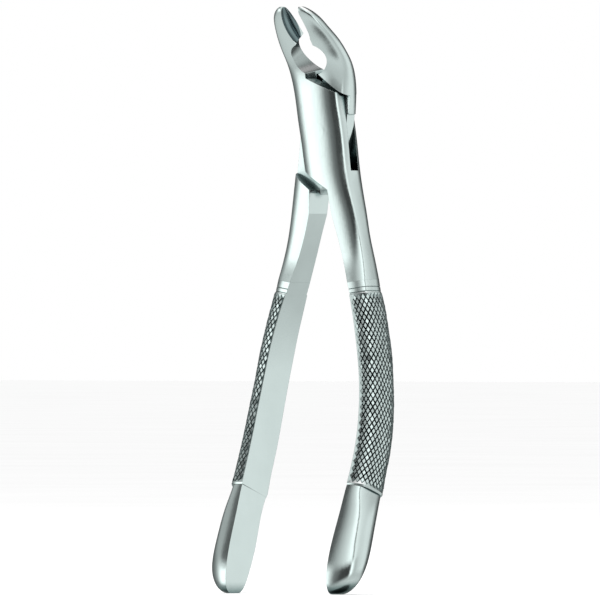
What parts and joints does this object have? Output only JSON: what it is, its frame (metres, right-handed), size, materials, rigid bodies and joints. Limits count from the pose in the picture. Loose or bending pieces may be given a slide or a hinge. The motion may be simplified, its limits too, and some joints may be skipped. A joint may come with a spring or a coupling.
{
  "type": "dental extraction forceps",
  "caption": "Stainless extraction forceps with leaning spoon beaks, a box joint and curved knurled handles that swing open about a flush pivot pin.",
  "frame": {"origin": "the middle of the bounding box seen from above, at the level where the handle ends touch the ground plane", "axes": "+Z along the instrument from the handle ends to the beaks, +X from the male handle to the female handle, +Y along the hinge axis; the beaks lean and the handle ends curve towards -Y"},
  "size_m": [0.055, 0.0285, 0.1689],
  "materials": {
    "polished_steel": "satin-polished stainless steel",
    "knurled_steel": "stainless steel with a diamond knurl"
  },
  "bodies": {
    "female_half": {"female_beak": "polished_steel", "female_box_joint": "polished_steel", "female_shank": "polished_steel", "female_knurled_grip": "knurled_steel", "female_handle_end": "polished_steel", "pivot_pin": "polished_steel"},
    "male_half": {"male_beak": "polished_steel", "male_tongue": "polished_steel", "male_shank": "polished_steel", "male_knurled_grip": "knurled_steel", "male_handle_end": "polished_steel"}
  },
  "joints": [
    {"name": "box_joint_pivot", "type": "hinge", "parent": "female_half", "child": "male_half", "pos_m": [0, 0.0091, 0.133], "axis": [0, 1, 0], "range_deg": [-10, 20]}
  ]
}
